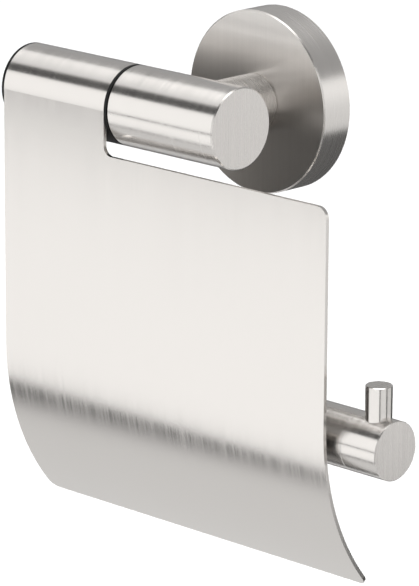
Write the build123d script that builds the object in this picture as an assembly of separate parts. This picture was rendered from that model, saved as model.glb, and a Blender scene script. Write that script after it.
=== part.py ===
from build123d import *
from math import cos, radians, sin, sqrt
import os

# Toilet paper holder with a hinged cover flap, in millimetres.
# Origin: on the wall plane, at the rosette's axis. +X runs right along the wall,
# +Y points into the wall, +Z is up. The front of the holder faces -Y.

# ---- driving dimensions -------------------------------------------------
# rosette and wall bracket
ROSETTE_R = 28.3
ROSETTE_DEPTH = 11.2
ROSETTE_WALL = 1.6
ROSETTE_FRONT = 2.4
ROSETTE_CHAMFER = 0.4
BRACKET_R = 26.2
BRACKET_DEPTH = 6.5
BRACKET_OPENING_R = 8.5
GROOVE_Y = -3.2
GROOVE_DEPTH = 1.2
GROOVE_WIDTH = 4.4
WALL_HOLE_R = 2.5
WALL_HOLE_SPACING = 34.0
COUNTERSINK_R = 4.8
COUNTERSINK_DEPTH = 2.4

# post and top bar
AXIS_Y = -40.7
POST_R = 9.0
POST_BORE_R = 7.0
POST_PLUG_LENGTH = 14.0
POST_SEAM_CHAMFER = 0.25
BAR_R = 12.5
BAR_HALF = 21.9
BAR_CHAMFER = 0.4

# spindle and side strap
SPINDLE_R = 5.0
SPINDLE_IN_BAR = 27.0
SPINDLE_GRUB_X = -14.5
SPINDLE_FLAT = 0.5
STRAP_THICKNESS = 2.5
STRAP_TOP_R = 8.0
STRAP_BOTTOM_R = 6.5
SPIGOT_R = 4.0
SPIGOT_HALF_FLAT = 3.0
SPIGOT_RECESS = 0.2

# roll arm, knob and stop pin
ARM_R = 9.0
ARM_BORE_R = 7.5
ARM_BELOW = 85.4
ARM_FREE_END_X = 71.5
ARM_PLUG_LENGTH = 14.0
STRAP_PLUG_LENGTH = 12.0
SEAM_CHAMFER = 0.15
KNOB_LENGTH = 13.4
KNOB_CHAMFER = 0.2
PIN_R = 4.0
PIN_ABOVE_ARM_AXIS = 18.7
PIN_CHAMFER = 0.2

# flap and its bushes
SHEET = 1.2
FLAP_WIDTH = 135.0
SLEEVE_LENGTH = 43.8
CURL_END_ANGLE = -60.0
NOTCH_BELOW = 13.6
LIP_START_BELOW = 80.5
LIP_R = 77.6
LIP_ANGLE = 42.1
NOTCH_CORNER_R = 3.0
TOP_CORNER_R = 3.5
BOTTOM_CORNER_R = 3.0
LEFT_FLANGE = 1.0
RIGHT_FLANGE = 1.1
BUSH_LENGTH = 16.0
BUSH_BORE_R = 5.05
BUSH_GAP = 0.2
RIB_GAP = 0.1

# threads and fasteners
M4_R = 2.0
M5_R = 2.5
M6_R = 3.0
CUT_PAST = 1.0
BRACKET_CHAMFER = 0.4
M6_CLEARANCE_R = 3.2
ROSETTE_GRUB_RECESS = 0.3
ROSETTE_GRUB_SOCKET = (2.0, 1.5)
POST_TAP_DEPTH = 12.0
POST_WASHER_R = 6.0
POST_WASHER_THICKNESS = 1.2
POST_HEAD_R = 5.0
POST_HEAD_HEIGHT = 6.0
POST_HEAD_CHAMFER = 0.4
POST_SHANK = 14.0
POST_SOCKET = (5.0, 3.0)
SPINDLE_GRUB_RECESS = 1.0
SPINDLE_GRUB_SOCKET = (2.5, 2.0)
SPINDLE_TAP_DEPTH = 11.0
END_WASHER_R = 5.0
END_WASHER_THICKNESS = 0.8
END_WASHER_HOLE_R = 2.15
END_HEAD_R = 3.8
END_HEAD_HEIGHT = 2.2
END_HEAD_ROUND = 1.2
END_SHANK = 12.0
END_SOCKET = (2.5, 1.3)
ARM_TAP_DEPTH = 10.0
KNOB_TAP_DEPTH = 5.5
KNOB_STUD_IN_ARM = 8.0
KNOB_STUD_IN_KNOB = 5.0
PIN_TAP_START = 3.5
PIN_TAP_DEPTH = 5.5
PIN_STUD_START = 4.0
PIN_STUD_IN_PIN = 5.0

# ---- derived places -----------------------------------------------------
SLEEVE_RIGHT_X = -BAR_HALF - BUSH_GAP - RIGHT_FLANGE
SLEEVE_LEFT_X = SLEEVE_RIGHT_X - SLEEVE_LENGTH
FLAP_RIGHT_X = SLEEVE_LEFT_X + FLAP_WIDTH
STRAP_RIGHT_X = SLEEVE_LEFT_X - LEFT_FLANGE - BUSH_GAP
STRAP_LEFT_X = STRAP_RIGHT_X - STRAP_THICKNESS
ARM_Z = -ARM_BELOW
KNOB_END_X = ARM_FREE_END_X + KNOB_LENGTH
PIN_X = ARM_FREE_END_X + KNOB_LENGTH / 2
ROSETTE_INNER_Y = ROSETTE_FRONT - ROSETTE_DEPTH
SLEEVE_BORE_R = BAR_R - SHEET


# ---- shape helpers ------------------------------------------------------
def rod_x(radius, x0, x1, y=0.0, z=0.0):
    """Solid cylinder along X from x0 to x1."""
    return Pos((x0 + x1) / 2, y, z) * Rot(0, 90, 0) * Cylinder(radius, abs(x1 - x0))


def rod_y(radius, y0, y1, x=0.0, z=0.0):
    """Solid cylinder along Y from y0 to y1."""
    return Pos(x, (y0 + y1) / 2, z) * Rot(90, 0, 0) * Cylinder(radius, abs(y1 - y0))


def rod_z(radius, z0, z1, x=0.0, y=0.0):
    """Solid cylinder along Z from z0 to z1."""
    return Pos(x, y, (z0 + z1) / 2) * Cylinder(radius, abs(z1 - z0))


def block(x0, x1, y0, y1, z0, z1):
    """Box between two corners."""
    centre = Pos((x0 + x1) / 2, (y0 + y1) / 2, (z0 + z1) / 2)
    return centre * Box(abs(x1 - x0), abs(y1 - y0), abs(z1 - z0))


def hex_socket(across_flats, depth):
    """Hexagonal pit that opens at the local origin and goes down local -Z."""
    corner_r = across_flats / sqrt(3)
    return extrude(RegularPolygon(corner_r, 6), -depth)


def chamfer_ends(solid, axis, size, last_only=False):
    """Chamfer the round edges at the ends of a rod that lies along an axis."""
    ends = solid.edges().filter_by(GeomType.CIRCLE).group_by(axis)
    picked = ends[-1] if last_only else ends[0] + ends[-1]
    return chamfer(picked, size)


# ---- wall end -----------------------------------------------------------
def make_wall_bracket():
    """Die-cast disc with two countersunk wall holes and a locking groove."""
    bracket = rod_y(BRACKET_R, -BRACKET_DEPTH, 0)
    bracket = chamfer_ends(bracket, Axis.Y, BRACKET_CHAMFER)
    bracket -= rod_y(BRACKET_OPENING_R, -BRACKET_DEPTH - CUT_PAST, CUT_PAST)
    groove = rod_y(BRACKET_R + 2, GROOVE_Y - GROOVE_WIDTH / 2, GROOVE_Y + GROOVE_WIDTH / 2)
    groove -= rod_y(BRACKET_R - GROOVE_DEPTH, -BRACKET_DEPTH, 0)
    bracket -= groove
    for side in (-1, 1):
        z = side * WALL_HOLE_SPACING / 2
        bracket -= rod_y(WALL_HOLE_R, -BRACKET_DEPTH - CUT_PAST, CUT_PAST, z=z)
        seat = Cone(WALL_HOLE_R, COUNTERSINK_R, COUNTERSINK_DEPTH)
        bracket -= Pos(0, -BRACKET_DEPTH + COUNTERSINK_DEPTH / 2, z) * Rot(90, 0, 0) * seat
    return bracket


def make_rosette():
    """Stainless cup, open at the wall, with a screw hole in its front."""
    cup = rod_y(ROSETTE_R, -ROSETTE_DEPTH, 0)
    front = cup.edges().filter_by(GeomType.CIRCLE).sort_by(Axis.Y)[0]
    cup = chamfer(front, ROSETTE_CHAMFER)
    cup -= rod_y(ROSETTE_R - ROSETTE_WALL, ROSETTE_INNER_Y, CUT_PAST)
    cup -= rod_y(M6_CLEARANCE_R, -ROSETTE_DEPTH - CUT_PAST, ROSETTE_INNER_Y + CUT_PAST)
    cup -= rod_z(M4_R, -ROSETTE_R - CUT_PAST, -ROSETTE_R + ROSETTE_WALL + CUT_PAST, y=GROOVE_Y)
    return cup


def make_rosette_grub_screw():
    """M4 set screw, radial from below, its tip in the bracket's groove."""
    bottom = -ROSETTE_R + ROSETTE_GRUB_RECESS
    screw = rod_z(M4_R, bottom, -BRACKET_R + GROOVE_DEPTH, y=GROOVE_Y)
    return screw - Pos(0, GROOVE_Y, bottom) * Rot(180, 0, 0) * hex_socket(*ROSETTE_GRUB_SOCKET)


def make_post():
    """Tube from the rosette's face to the back of the top bar, cut to its round."""
    tube = rod_y(POST_R, AXIS_Y, -ROSETTE_DEPTH)
    tube = chamfer_ends(tube, Axis.Y, POST_SEAM_CHAMFER, last_only=True)
    tube -= rod_y(POST_BORE_R, AXIS_Y - CUT_PAST, -ROSETTE_DEPTH + CUT_PAST)
    return tube - rod_x(BAR_R, -BAR_HALF, BAR_HALF, AXIS_Y)


def make_post_plug():
    """Plug in the wall end of the post, tapped M6 for the post screw."""
    plug = rod_y(POST_BORE_R, -ROSETTE_DEPTH - POST_PLUG_LENGTH, -ROSETTE_DEPTH)
    return plug - rod_y(M6_R, -ROSETTE_DEPTH - POST_TAP_DEPTH, -ROSETTE_DEPTH + CUT_PAST)


def make_post_washer():
    """Flat washer on the inside of the rosette's front."""
    washer = rod_y(POST_WASHER_R, ROSETTE_INNER_Y, ROSETTE_INNER_Y + POST_WASHER_THICKNESS)
    return washer - rod_y(M6_CLEARANCE_R, ROSETTE_INNER_Y - CUT_PAST, 0)


def make_post_screw():
    """M6 socket cap screw from inside the rosette into the post plug."""
    under_head = ROSETTE_INNER_Y + POST_WASHER_THICKNESS
    head_top = under_head + POST_HEAD_HEIGHT
    screw = rod_y(POST_HEAD_R, under_head, head_top)
    screw = chamfer_ends(screw, Axis.Y, POST_HEAD_CHAMFER, last_only=True)
    screw += rod_y(M6_R, under_head - POST_SHANK, under_head)
    pit = Pos(0, head_top, 0) * Rot(-90, 0, 0) * hex_socket(*POST_SOCKET)
    return screw - pit


# ---- top bar and spindle ------------------------------------------------
def make_top_bar():
    """Round bar with a blind bore for the spindle and a set-screw hole below."""
    bar = rod_x(BAR_R, -BAR_HALF, BAR_HALF, AXIS_Y)
    bar = chamfer_ends(bar, Axis.X, BAR_CHAMFER)
    bar -= rod_x(SPINDLE_R, -BAR_HALF - CUT_PAST, -BAR_HALF + SPINDLE_IN_BAR, AXIS_Y)
    return bar - rod_z(M5_R, -BAR_R - CUT_PAST, 0, SPINDLE_GRUB_X, AXIS_Y)


def spindle_end_shape(length_from_strap):
    """Flatted end of the spindle, reaching left from the strap's inner face."""
    end = rod_x(SPIGOT_R, STRAP_RIGHT_X - length_from_strap, STRAP_RIGHT_X, AXIS_Y)
    limits = block(
        STRAP_RIGHT_X - length_from_strap - CUT_PAST, STRAP_RIGHT_X,
        AXIS_Y - BAR_R, AXIS_Y + BAR_R, -SPIGOT_HALF_FLAT, SPIGOT_HALF_FLAT,
    )
    return end & limits


def make_spindle():
    """Steel rod in the bar's bore, with a flatted end for the strap."""
    rod = rod_x(SPINDLE_R, STRAP_RIGHT_X, -BAR_HALF + SPINDLE_IN_BAR, AXIS_Y)
    rod += spindle_end_shape(STRAP_THICKNESS - SPIGOT_RECESS)
    rod -= rod_x(M4_R, STRAP_LEFT_X - CUT_PAST, STRAP_RIGHT_X + SPINDLE_TAP_DEPTH, AXIS_Y)
    seat_top = -SPINDLE_R + SPINDLE_FLAT
    return rod - rod_z(M5_R, -SPINDLE_R - CUT_PAST, seat_top, SPINDLE_GRUB_X, AXIS_Y)


def make_spindle_grub_screw():
    """M5 set screw from below the bar onto a flat seat in the spindle."""
    bottom = -BAR_R + SPINDLE_GRUB_RECESS
    screw = rod_z(M5_R, bottom, -SPINDLE_R + SPINDLE_FLAT, SPINDLE_GRUB_X, AXIS_Y)
    pit = Pos(SPINDLE_GRUB_X, AXIS_Y, bottom) * Rot(180, 0, 0) * hex_socket(*SPINDLE_GRUB_SOCKET)
    return screw - pit


def make_side_strap():
    """Flat strap with round ends, from the spindle down to the roll arm."""
    top = rod_x(STRAP_TOP_R, STRAP_LEFT_X, STRAP_RIGHT_X, AXIS_Y)
    bottom = rod_x(STRAP_BOTTOM_R, STRAP_LEFT_X, STRAP_RIGHT_X, AXIS_Y, ARM_Z)
    corners = [
        (AXIS_Y - STRAP_TOP_R, 0),
        (AXIS_Y + STRAP_TOP_R, 0),
        (AXIS_Y + STRAP_BOTTOM_R, ARM_Z),
        (AXIS_Y - STRAP_BOTTOM_R, ARM_Z),
    ]
    web_plane = Plane(origin=(STRAP_LEFT_X, 0, 0), x_dir=(0, 1, 0), z_dir=(1, 0, 0))
    web_face = web_plane * make_face(Polyline(*corners, close=True))
    strap = top + bottom + extrude(web_face, STRAP_THICKNESS, dir=(1, 0, 0))
    return strap - spindle_end_shape(STRAP_THICKNESS + CUT_PAST)


def make_spindle_end_washer():
    """Washer that clamps the strap against the spindle's shoulder."""
    washer_left = STRAP_LEFT_X - END_WASHER_THICKNESS
    washer = rod_x(END_WASHER_R, washer_left, STRAP_LEFT_X, AXIS_Y)
    return washer - rod_x(END_WASHER_HOLE_R, washer_left - CUT_PAST, STRAP_LEFT_X + CUT_PAST, AXIS_Y)


def make_spindle_end_screw():
    """M4 button-head screw in the spindle's left end."""
    under_head = STRAP_LEFT_X - END_WASHER_THICKNESS
    head_left = under_head - END_HEAD_HEIGHT
    head = rod_x(END_HEAD_R, head_left, under_head, AXIS_Y)
    rim = head.edges().filter_by(GeomType.CIRCLE).sort_by(Axis.X)[0]
    head = fillet(rim, END_HEAD_ROUND)
    head += rod_x(M4_R, under_head, under_head + END_SHANK, AXIS_Y)
    return head - Pos(head_left, AXIS_Y, 0) * Rot(0, -90, 0) * hex_socket(*END_SOCKET)


# ---- roll arm -----------------------------------------------------------
def make_roll_arm():
    """Tube that the paper roll hangs on."""
    tube = rod_x(ARM_R, STRAP_RIGHT_X, ARM_FREE_END_X, AXIS_Y, ARM_Z)
    tube = chamfer_ends(tube, Axis.X, SEAM_CHAMFER, last_only=True)
    return tube - rod_x(ARM_BORE_R, STRAP_RIGHT_X - CUT_PAST, ARM_FREE_END_X + CUT_PAST, AXIS_Y, ARM_Z)


def make_arm_end_plug():
    """Plug in the arm's free end, tapped M6."""
    plug = rod_x(ARM_BORE_R, ARM_FREE_END_X - ARM_PLUG_LENGTH, ARM_FREE_END_X, AXIS_Y, ARM_Z)
    return plug - rod_x(M6_R, ARM_FREE_END_X - ARM_TAP_DEPTH, ARM_FREE_END_X + CUT_PAST, AXIS_Y, ARM_Z)


def make_arm_strap_plug():
    """Plug in the arm's other end, welded to the strap."""
    return rod_x(ARM_BORE_R, STRAP_RIGHT_X, STRAP_RIGHT_X + STRAP_PLUG_LENGTH, AXIS_Y, ARM_Z)


def make_knob_stud():
    """M6 stud, half in the plug and half in the knob."""
    left, right = ARM_FREE_END_X - KNOB_STUD_IN_ARM, ARM_FREE_END_X + KNOB_STUD_IN_KNOB
    return rod_x(M6_R, left, right, AXIS_Y, ARM_Z)


def make_knob():
    """Turned end piece, tapped for its stud and for the stop pin's stud."""
    knob = rod_x(ARM_R, ARM_FREE_END_X, KNOB_END_X, AXIS_Y, ARM_Z)
    ends = knob.edges().filter_by(GeomType.CIRCLE).sort_by(Axis.X)
    knob = chamfer(ends[0], SEAM_CHAMFER)
    outer_rim = knob.edges().filter_by(GeomType.CIRCLE).sort_by(Axis.X)[-1]
    knob = chamfer(outer_rim, KNOB_CHAMFER)
    knob -= rod_x(M6_R, ARM_FREE_END_X - CUT_PAST, ARM_FREE_END_X + KNOB_TAP_DEPTH, AXIS_Y, ARM_Z)
    return knob - rod_z(M4_R, ARM_Z + PIN_TAP_START, ARM_Z + ARM_R + CUT_PAST, PIN_X, AXIS_Y)


def make_stop_pin():
    """Upright pin whose foot is cut to the knob's round."""
    pin = rod_z(PIN_R, ARM_Z, ARM_Z + PIN_ABOVE_ARM_AXIS, PIN_X, AXIS_Y)
    pin = chamfer_ends(pin, Axis.Z, PIN_CHAMFER, last_only=True)
    pin -= rod_x(ARM_R, ARM_FREE_END_X, KNOB_END_X, AXIS_Y, ARM_Z)
    return pin - rod_z(M4_R, ARM_Z, ARM_Z + ARM_R + PIN_TAP_DEPTH, PIN_X, AXIS_Y)


def make_stop_pin_stud():
    """M4 stud, half in the knob and half in the pin."""
    return rod_z(M4_R, ARM_Z + PIN_STUD_START, ARM_Z + ARM_R + PIN_STUD_IN_PIN, PIN_X, AXIS_Y)


# ---- flap ---------------------------------------------------------------
def on_circle(centre, radius, degrees):
    """Point of a circle in the side view, where 0 degrees points at the wall."""
    turn = radians(degrees)
    return (centre[0] + radius * cos(turn), centre[1] + radius * sin(turn))


def circle_arc(centre, radius, start, end):
    """Arc between two angles of a circle in the side view."""
    middle = (start + end) / 2
    points = [on_circle(centre, radius, turn) for turn in (start, middle, end)]
    return ThreePointArc(*points)


def flap_profile():
    """Side view of the sheet: the curl, the flat and the curved lip."""
    axis = (AXIS_Y, 0.0)
    lip_centre = (AXIS_Y - BAR_R + LIP_R, -LIP_START_BELOW)
    lip_end = 180 + LIP_ANGLE
    inner_lip_r = LIP_R - SHEET
    outer = [
        circle_arc(axis, BAR_R, CURL_END_ANGLE, 60),
        circle_arc(axis, BAR_R, 60, 180),
        Line(on_circle(axis, BAR_R, 180), on_circle(lip_centre, LIP_R, 180)),
        circle_arc(lip_centre, LIP_R, 180, lip_end),
    ]
    inner = [
        circle_arc(lip_centre, inner_lip_r, lip_end, 180),
        Line(on_circle(lip_centre, inner_lip_r, 180), on_circle(axis, SLEEVE_BORE_R, 180)),
        circle_arc(axis, SLEEVE_BORE_R, 180, 60),
        circle_arc(axis, SLEEVE_BORE_R, 60, CURL_END_ANGLE),
    ]
    tip = Line(on_circle(lip_centre, LIP_R, lip_end), on_circle(lip_centre, inner_lip_r, lip_end))
    curl_edge = Line(
        on_circle(axis, SLEEVE_BORE_R, CURL_END_ANGLE), on_circle(axis, BAR_R, CURL_END_ANGLE)
    )
    return make_face(outer + [tip] + inner + [curl_edge])


def corner_edges(sheet, x, z):
    """The short edges through the sheet at a corner of its front view."""
    near = [
        edge for edge in sheet.edges()
        if edge.length < 1.5 * SHEET
        and abs(edge.center().X - x) < 0.1
        and abs(edge.center().Z - z) < 1.0
    ]
    return near


def make_flap_sheet():
    """One bent sheet: sleeve at the top left, notch below the bar, curved lip."""
    side_plane = Plane(origin=(SLEEVE_LEFT_X, 0, 0), x_dir=(0, 1, 0), z_dir=(1, 0, 0))
    sheet = extrude(side_plane * flap_profile(), FLAP_WIDTH, dir=(1, 0, 0))
    sheet -= block(
        SLEEVE_RIGHT_X, FLAP_RIGHT_X + 5, AXIS_Y - 2 * BAR_R, AXIS_Y + 2 * BAR_R,
        -NOTCH_BELOW, 2 * BAR_R,
    )
    lip_bottom = -LIP_START_BELOW - LIP_R * sin(radians(LIP_ANGLE))
    sheet = fillet(corner_edges(sheet, SLEEVE_RIGHT_X, -NOTCH_BELOW), NOTCH_CORNER_R)
    sheet = fillet(corner_edges(sheet, FLAP_RIGHT_X, -NOTCH_BELOW), TOP_CORNER_R)
    for x in (SLEEVE_LEFT_X, FLAP_RIGHT_X):
        sheet = fillet(corner_edges(sheet, x, lip_bottom), BOTTOM_CORNER_R)
    return sheet


def make_hinge_bush(outer_x, inward, flange):
    """Flanged bush; its rib fills the opening between curl and flat.

    outer_x is the sleeve's end where the flange sits, inward the X direction
    from there into the sleeve, flange the flange's thickness.
    """
    inner_x = outer_x + inward * BUSH_LENGTH
    bush = rod_x(SLEEVE_BORE_R, outer_x, inner_x, AXIS_Y)
    rib = rod_x(BAR_R, outer_x, inner_x, AXIS_Y)
    rib -= block(
        outer_x, inner_x, AXIS_Y - 2 * BAR_R, AXIS_Y - SLEEVE_BORE_R + RIB_GAP,
        -2 * BAR_R, 2 * BAR_R,
    )
    rib -= block(outer_x, inner_x, AXIS_Y - 2 * BAR_R, AXIS_Y + 2 * BAR_R, 0, 2 * BAR_R)
    curl_side = block(outer_x, inner_x, -RIB_GAP, 4 * BAR_R, -2 * BAR_R, 2 * BAR_R)
    rib -= Pos(0, AXIS_Y, 0) * Rot(90 + CURL_END_ANGLE, 0, 0) * curl_side
    bush += rib
    bush += rod_x(BAR_R, outer_x - inward * flange, outer_x, AXIS_Y)
    return bush - rod_x(BUSH_BORE_R, outer_x - 2 * BAR_R, outer_x + 2 * BAR_R, AXIS_Y)


# ---- write one file per sub-part ---------------------------------------
os.makedirs("parts", exist_ok=True)
sub_parts = {
    "wall_bracket": make_wall_bracket(),
    "rosette": make_rosette(),
    "rosette_grub_screw": make_rosette_grub_screw(),
    "post": make_post(),
    "post_plug": make_post_plug(),
    "post_washer": make_post_washer(),
    "post_screw": make_post_screw(),
    "top_bar": make_top_bar(),
    "spindle": make_spindle(),
    "spindle_grub_screw": make_spindle_grub_screw(),
    "side_strap": make_side_strap(),
    "spindle_end_washer": make_spindle_end_washer(),
    "spindle_end_screw": make_spindle_end_screw(),
    "roll_arm": make_roll_arm(),
    "arm_strap_plug": make_arm_strap_plug(),
    "arm_end_plug": make_arm_end_plug(),
    "knob_stud": make_knob_stud(),
    "knob": make_knob(),
    "stop_pin": make_stop_pin(),
    "stop_pin_stud": make_stop_pin_stud(),
    "flap_sheet": make_flap_sheet(),
    "hinge_bush_left": make_hinge_bush(SLEEVE_LEFT_X, 1, LEFT_FLANGE),
    "hinge_bush_right": make_hinge_bush(SLEEVE_RIGHT_X, -1, RIGHT_FLANGE),
}
for name, shape in sub_parts.items():
    export_step(shape, f"parts/{name}.step")
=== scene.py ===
from math import cos, pi, radians, sin

import bpy
from mathutils import Matrix, Vector


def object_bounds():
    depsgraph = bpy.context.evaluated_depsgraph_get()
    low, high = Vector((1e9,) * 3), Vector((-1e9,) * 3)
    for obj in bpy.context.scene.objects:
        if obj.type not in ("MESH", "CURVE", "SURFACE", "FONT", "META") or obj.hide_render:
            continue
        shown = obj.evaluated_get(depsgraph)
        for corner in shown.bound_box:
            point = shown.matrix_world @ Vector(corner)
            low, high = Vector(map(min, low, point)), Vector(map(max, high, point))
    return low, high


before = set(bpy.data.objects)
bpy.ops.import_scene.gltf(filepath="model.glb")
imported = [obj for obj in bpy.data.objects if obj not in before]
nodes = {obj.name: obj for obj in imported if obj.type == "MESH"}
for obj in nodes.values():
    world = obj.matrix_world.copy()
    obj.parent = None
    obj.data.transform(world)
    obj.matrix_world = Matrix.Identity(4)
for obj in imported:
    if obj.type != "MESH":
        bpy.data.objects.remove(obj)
cad_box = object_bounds()

# ---- node helpers -------------------------------------------------------


class Tree:
    """Short names for building a shader tree."""

    def __init__(self, tree):
        self.tree = tree
        tree.nodes.clear()

    def node(self, kind, **settings):
        made = self.tree.nodes.new(kind)
        for name, value in settings.items():
            setattr(made, name, value)
        return made

    def feed(self, socket, value):
        if isinstance(value, bpy.types.NodeSocket):
            self.tree.links.new(value, socket)
        else:
            socket.default_value = value

    def math(self, operation, *values):
        made = self.node("ShaderNodeMath", operation=operation)
        for socket, value in zip(made.inputs, values):
            self.feed(socket, value)
        return made.outputs[0]

    def step(self, value, low, high, to_low=0.0, to_high=1.0):
        made = self.node("ShaderNodeMapRange", interpolation_type="SMOOTHSTEP")
        for socket, x in zip(made.inputs, (value, low, high, to_low, to_high)):
            self.feed(socket, x)
        return made.outputs[0]

    def mix(self, factor, a, b):
        made = self.node("ShaderNodeMix", data_type="FLOAT")
        for socket, x in zip((made.inputs[0], made.inputs[2], made.inputs[3]), (factor, a, b)):
            self.feed(socket, x)
        return made.outputs[0]

    def mix_colour(self, factor, a, b, blend="MIX"):
        made = self.node("ShaderNodeMix", data_type="RGBA", blend_type=blend)
        for socket, x in zip((made.inputs[0], made.inputs[6], made.inputs[7]), (factor, a, b)):
            self.feed(socket, x)
        return made.outputs[2]

    def noise(self, scale, coords, detail=2.0, roughness=0.5, size=1.0):
        place = self.node("ShaderNodeMapping")
        self.feed(place.inputs["Vector"], coords)
        place.inputs["Scale"].default_value = scale
        made = self.node("ShaderNodeTexNoise", noise_dimensions="3D")
        made.inputs["Scale"].default_value = size
        made.inputs["Detail"].default_value = detail
        made.inputs["Roughness"].default_value = roughness
        self.feed(made.inputs["Vector"], place.outputs[0])
        return made.outputs["Fac"]


# ---- studio -------------------------------------------------------------
# Plain soft light: area softboxes round the object, placed from its box, in a dim room with
# a pale backdrop behind and a pale surface below. The gap between the front and top softboxes
# makes the dark band along the bar, and the one between reflector and floor that on the flap.
# front_reflector is a light that stands for a reflector. The floor mesh is kept out of the
# reflections, where FLOOR_BOUNCE stands for it.
# Levels are brightness against a white of 1. Pairs are where a soft edge starts and ends, as
# a share of the unit direction. Lengths are in metres from the object's box,
# heights are world Z, azimuth is in degrees with 0 in front of the object and 90 at its right.
ROOM_LIGHT = 0.1
BACKDROP_LIGHT = 0.45
FLOOR_BOUNCE = 0.9
OVERHEAD_LIGHT = 4.1
BACKDROP_WHITE = 1.0
BACKDROP_FROM = (-0.2, 0.6)
BACKDROP_RISE = (-0.2, 0.2)
BOUNCE_BELOW = (-0.64, -0.50)
BOUNCE_BEFORE = (0.3, 0.7)
OVERHEAD_ABOVE = (0.80, 0.97)
FRONT_DISTANCE = 0.40
STRIP_LENGTH = 2.4
STRIP_SHIFT = -0.7
FRONT_BOTTOM = -0.10
FRONT_TOP = 0.32
FRONT_LIGHT = 1.3
REFLECTOR_TOP = -0.13
REFLECTOR_BOTTOM = -0.45
REFLECTOR_LIGHT = 1.3
TOP_DISTANCE = 0.50
TOP_DEPTH = 0.50
TOP_SHIFT = -0.04
TOP_LIGHT = 0.9
SIDE_DISTANCE = 0.60
SIDE_SIZE = 0.50
SIDE_BACK_LIGHT = 0.9
SIDE_FRONT_LIGHT = 1.1
SIDE_BACK_AZIMUTH = 135
SIDE_FRONT_AZIMUTH = 80


def build_world():
    world = bpy.data.worlds.new("studio_light")
    bpy.context.scene.world = world
    world.use_nodes = True
    t = Tree(world.node_tree)
    coords = t.node("ShaderNodeTexCoord")
    split = t.node("ShaderNodeSeparateXYZ")
    t.feed(split.inputs[0], coords.outputs["Generated"])
    _, y, z = split.outputs
    behind = t.math("MULTIPLY", t.step(y, *BACKDROP_FROM), t.step(z, *BACKDROP_RISE))
    level = t.mix(behind, ROOM_LIGHT, BACKDROP_LIGHT)
    below = t.math("MULTIPLY", t.step(z, *BOUNCE_BELOW, 1.0, 0.0), t.step(y, *BOUNCE_BEFORE, 1.0, 0.0))
    level = t.mix(below, level, FLOOR_BOUNCE)
    level = t.math("ADD", level, t.step(z, *OVERHEAD_ABOVE, 0.0, OVERHEAD_LIGHT))
    camera_ray = t.node("ShaderNodeLightPath").outputs["Is Camera Ray"]
    level = t.mix(camera_ray, level, BACKDROP_WHITE)
    background = t.node("ShaderNodeBackground")
    background.inputs["Color"].default_value = (1, 1, 1, 1)
    t.feed(background.inputs["Strength"], level)
    output = t.node("ShaderNodeOutputWorld")
    t.feed(output.inputs[0], background.outputs[0])


def softbox(name, centre, aim, width, height, level):
    """Rectangular softbox at centre, facing the point aim, of the given brightness."""
    light = bpy.data.lights.new(name, "AREA")
    light.shape = "RECTANGLE"
    light.size = width
    light.size_y = height
    light.energy = level * pi * width * height
    lamp = bpy.data.objects.new(name, light)
    lamp.location = centre
    lamp.rotation_euler = (Vector(aim) - Vector(centre)).to_track_quat("-Z", "Y").to_euler()
    lamp.visible_camera = False
    bpy.context.scene.collection.objects.link(lamp)


def build_softboxes():
    low, high = Vector(cad_box[0]), Vector(cad_box[1])
    middle = (low + high) / 2
    strip_x = middle.x + STRIP_SHIFT
    front_y = low.y - FRONT_DISTANCE
    for name, bottom, top, level in (
        ("front_softbox", FRONT_BOTTOM, FRONT_TOP, FRONT_LIGHT),
        ("front_reflector", REFLECTOR_BOTTOM, REFLECTOR_TOP, REFLECTOR_LIGHT),
    ):
        z = (bottom + top) / 2
        softbox(name, (strip_x, front_y, z), (strip_x, 0, z), STRIP_LENGTH, top - bottom, level)
    top_y = middle.y + TOP_SHIFT
    softbox(
        "top_softbox", (strip_x, top_y, high.z + TOP_DISTANCE), (strip_x, top_y, 0),
        STRIP_LENGTH, TOP_DEPTH, TOP_LIGHT,
    )
    for name, azimuth, level in (
        ("side_back_softbox", SIDE_BACK_AZIMUTH, SIDE_BACK_LIGHT),
        ("side_front_softbox", SIDE_FRONT_AZIMUTH, SIDE_FRONT_LIGHT),
    ):
        away = Vector((sin(radians(azimuth)), -cos(radians(azimuth)), 0))
        softbox(name, middle + away * SIDE_DISTANCE, middle, SIDE_SIZE, SIDE_SIZE, level)


FLOOR_Z = -0.5
FLOOR_R = 8.0
FLOOR_SIDES = 64


def build_floor():
    mesh = bpy.data.meshes.new("floor")
    turns = [2 * pi * i / FLOOR_SIDES for i in range(FLOOR_SIDES)]
    points = [(FLOOR_R * cos(turn), FLOOR_R * sin(turn), FLOOR_Z) for turn in turns]
    mesh.from_pydata(points, [], [tuple(range(FLOOR_SIDES))])
    floor = bpy.data.objects.new("floor", mesh)
    bpy.context.scene.collection.objects.link(floor)
    floor.visible_glossy = False
    material = bpy.data.materials.new("pale_floor")
    material.use_nodes = True
    t = Tree(material.node_tree)
    white = t.node("ShaderNodeBsdfDiffuse")
    coords = t.node("ShaderNodeTexCoord")
    grain = t.noise((3, 3, 3), coords.outputs["Object"])
    t.feed(white.inputs["Color"], t.mix_colour(grain, (0.93, 0.93, 0.93, 1), (0.95, 0.95, 0.95, 1)))
    t.feed(t.node("ShaderNodeOutputMaterial").inputs[0], white.outputs[0])
    mesh.materials.append(material)


# ---- materials ----------------------------------------------------------
STEEL = (0.637, 0.614, 0.59)
LINE_DENSITY = 2600.0
LINE_LENGTH = 28.0
LINE_ROUGHNESS = 0.045
LINE_BUMP = 0.00002
LINE_BUMP_STRENGTH = 0.085
CLOUD_SCALE = 9
CLOUD_ROUGHNESS = 0.01


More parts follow.
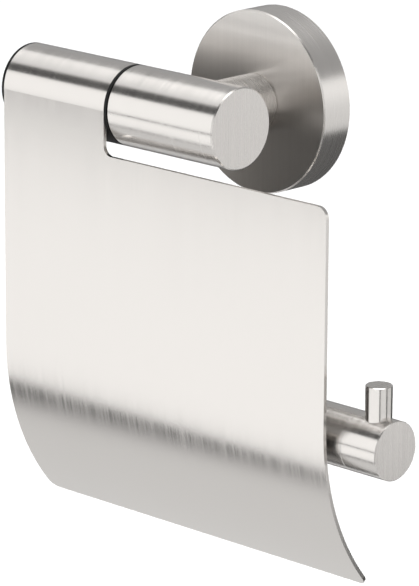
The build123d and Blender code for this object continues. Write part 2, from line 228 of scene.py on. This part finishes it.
def brushed_steel(
    name, across, face_across, roughness=0.22, face_roughness=0.26, anisotropic=0.7, line_depth=1.0
):
    """Stainless steel with fine brush lines. across is the axis that the lines lie side by side
    on, face_across the same for faces that look along across, line_depth how strong they are."""
    material = bpy.data.materials.new(name)
    material.use_nodes = True
    t = Tree(material.node_tree)
    texture = t.node("ShaderNodeTexCoord")
    coords = texture.outputs["Object"]
    facing = t.node("ShaderNodeSeparateXYZ")
    t.feed(facing.inputs[0], texture.outputs["Normal"])
    on_face = t.math("GREATER_THAN", t.math("ABSOLUTE", facing.outputs["XYZ".index(across)]), 0.85)

    def lines(axis, share, detail):
        spread = [LINE_LENGTH * share] * 3
        spread["XYZ".index(axis)] = LINE_DENSITY * share
        return t.noise(spread, coords, detail=detail, roughness=0.6)

    fine = t.mix(on_face, lines(across, 1.0, 3.0), lines(face_across, 1.0, 3.0))
    wide = t.mix(on_face, lines(across, 0.25, 2.0), lines(face_across, 0.25, 2.0))
    both = t.mix(0.35, fine, wide)
    cloud = t.noise([CLOUD_SCALE] * 3, coords, detail=2.0)
    shader = t.node("ShaderNodeBsdfPrincipled")
    shader.inputs["Metallic"].default_value = 1.0
    shader.inputs["Anisotropic"].default_value = anisotropic
    darker = tuple(v * 0.98 for v in STEEL) + (1,)
    lighter = tuple(v * 1.02 for v in STEEL) + (1,)
    t.feed(shader.inputs["Base Color"], t.mix_colour(t.step(both, 0.3, 0.7), darker, lighter))
    rough = t.mix(on_face, roughness, face_roughness)
    swing = LINE_ROUGHNESS * line_depth
    rough = t.math("ADD", rough, t.step(both, 0.3, 0.7, -swing, swing))
    rough = t.math("ADD", rough, t.step(cloud, 0.3, 0.7, -CLOUD_ROUGHNESS, CLOUD_ROUGHNESS))
    t.feed(shader.inputs["Roughness"], rough)
    bump = t.node("ShaderNodeBump")
    bump.inputs["Strength"].default_value = LINE_BUMP_STRENGTH * line_depth
    bump.inputs["Distance"].default_value = LINE_BUMP
    t.feed(bump.inputs["Height"], both)
    t.feed(shader.inputs["Normal"], bump.outputs[0])
    tangents = []
    for axis in (across, face_across):
        turn = t.node(
            "ShaderNodeVectorTransform", vector_type="VECTOR", convert_from="OBJECT", convert_to="WORLD"
        )
        turn.inputs[0].default_value = [1.0 if a == axis else 0.0 for a in "XYZ"]
        tangents.append(turn.outputs[0])
    tangent = t.node("ShaderNodeMix", data_type="VECTOR")
    t.feed(tangent.inputs[0], on_face)
    t.feed(tangent.inputs[4], tangents[0])
    t.feed(tangent.inputs[5], tangents[1])
    t.feed(shader.inputs["Tangent"], tangent.outputs[1])
    t.feed(t.node("ShaderNodeOutputMaterial").inputs[0], shader.outputs[0])
    return material


def plain_material(name, colour, metallic, roughness, grain, bump_height, strength, specular=0.5):
    """Cast, moulded or plated surface: a fine grain drives colour, roughness and bump."""
    material = bpy.data.materials.new(name)
    material.use_nodes = True
    t = Tree(material.node_tree)
    coords = t.node("ShaderNodeTexCoord").outputs["Object"]
    fine = t.noise((grain, grain, grain), coords, detail=4.0)
    soft = t.noise((grain / 9, grain / 9, grain / 9), coords, detail=2.0)
    both = t.mix(0.5, fine, soft)
    shader = t.node("ShaderNodeBsdfPrincipled")
    shader.inputs["Metallic"].default_value = metallic
    shader.inputs["Specular IOR Level"].default_value = specular
    dark = tuple(v * 0.85 for v in colour) + (1,)
    light = tuple(min(1, v * 1.12) for v in colour) + (1,)
    t.feed(shader.inputs["Base Color"], t.mix_colour(t.step(both, 0.3, 0.7), dark, light))
    t.feed(shader.inputs["Roughness"], t.step(both, 0.3, 0.7, roughness - 0.06, roughness + 0.06))
    bump = t.node("ShaderNodeBump")
    bump.inputs["Strength"].default_value = strength
    bump.inputs["Distance"].default_value = bump_height
    t.feed(bump.inputs["Height"], both)
    t.feed(shader.inputs["Normal"], bump.outputs[0])
    t.feed(t.node("ShaderNodeOutputMaterial").inputs[0], shader.outputs[0])
    return material


def dress(name, material):
    obj = nodes[name]
    obj.data.materials.clear()
    obj.data.materials.append(material)


build_world()
build_softboxes()
build_floor()

steel_x = brushed_steel("brushed_steel_x", "X", "Y")
steel_y = brushed_steel(
    "brushed_steel_y", "Y", "X", roughness=0.26, face_roughness=0.30, anisotropic=0.4, line_depth=0.4
)
steel_z = brushed_steel("brushed_steel_z", "Z", "X")
casting = plain_material("zinc_casting", (0.42, 0.42, 0.43), 1.0, 0.42, 1800, 0.0001, 0.3)
plated = plain_material("screw_plating", (0.55, 0.55, 0.56), 1.0, 0.25, 2600, 0.00004, 0.2)
nylon = plain_material("black_nylon", (0.006, 0.006, 0.006), 0.0, 0.55, 2400, 0.00004, 0.2, 0.15)

for name in nodes:
    if name == "wall_bracket":
        dress(name, casting)
    elif name.startswith("hinge_bush"):
        dress(name, nylon)
    elif "screw" in name or "stud" in name or "washer" in name:
        dress(name, plated)
    elif name in ("post", "rosette"):
        dress(name, steel_y)
    elif name == "stop_pin":
        dress(name, steel_z)
    else:
        dress(name, steel_x)

# ---- camera -------------------------------------------------------------
CAMERA_PLACE = (0.82507, -0.88002, 0.26894)
CAMERA_YAW = 44.18
CAMERA_PITCH = -15.36
CAMERA_ROLL = 0.32
LENS_MM = 248.3

yaw, pitch, roll = radians(CAMERA_YAW), radians(CAMERA_PITCH), radians(CAMERA_ROLL)
ahead = Vector((-sin(yaw) * cos(pitch), cos(yaw) * cos(pitch), sin(pitch)))
level_right = Vector((cos(yaw), sin(yaw), 0))
level_up = level_right.cross(ahead)
right = level_right * cos(roll) + level_up * sin(roll)
up = -level_right * sin(roll) + level_up * cos(roll)
camera_data = bpy.data.cameras.new("camera")
camera_data.lens = LENS_MM
camera_data.sensor_width = 36.0
camera = bpy.data.objects.new("camera", camera_data)
camera.matrix_world = Matrix.Translation(CAMERA_PLACE) @ Matrix((right, up, -ahead)).transposed().to_4x4()
bpy.context.scene.collection.objects.link(camera)
bpy.context.scene.camera = camera
bpy.context.scene.view_settings.view_transform = "Standard"
